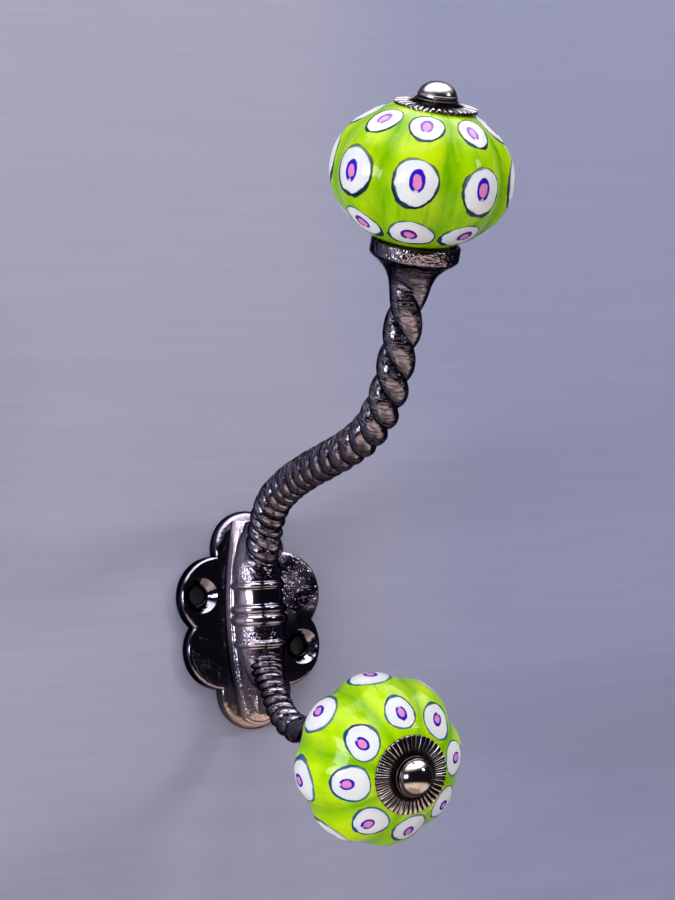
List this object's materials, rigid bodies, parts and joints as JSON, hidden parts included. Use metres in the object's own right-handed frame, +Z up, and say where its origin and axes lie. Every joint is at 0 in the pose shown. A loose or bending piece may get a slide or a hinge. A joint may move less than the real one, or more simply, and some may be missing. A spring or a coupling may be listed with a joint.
{
  "type": "double wall hook",
  "caption": "Wall hook with a scalloped backplate, a long and a short twisted cast arm, and a lobed glazed ceramic knob on each.",
  "frame": {"origin": "centre of the backplate's rear face, on the wall", "axes": "+Z up the wall, -Y straight out of the wall towards the knobs, +X along the wall to the right seen from the front"},
  "size_m": [0.0406, 0.1205, 0.165],
  "materials": {
    "casting": "glossy black nickel over a cast surface",
    "plating": "polished black nickel",
    "steel": "zinc plated",
    "glaze": "gloss lime glaze with painted spots",
    "rubber": "matt"
  },
  "bodies": {
    "wall_bracket": {"backplate": "casting", "arm_casting": "casting", "top_fixing_screw": "steel", "bottom_fixing_screw": "steel", "upper_cushion": "rubber", "upper_fluted_washer": "plating", "upper_collar": "plating", "upper_dome_nut": "plating", "upper_stud": "steel", "lower_cushion": "rubber", "lower_fluted_washer": "plating", "lower_collar": "plating", "lower_dome_nut": "plating", "lower_stud": "steel"},
    "upper_knob_body": {"upper_knob": "glaze"},
    "lower_knob_body": {"lower_knob": "glaze"}
  },
  "joints": [
    {"name": "upper_knob_turn", "type": "hinge", "parent": "wall_bracket", "child": "upper_knob_body", "pos_m": [0, -0.1012, 0.096], "axis": [0, -0.3875, 0.9219], "continuous": true},
    {"name": "lower_knob_turn", "type": "hinge", "parent": "wall_bracket", "child": "lower_knob_body", "pos_m": [0, -0.066, -0.0305], "axis": [0, -0.9848, -0.1736], "continuous": true}
  ]
}
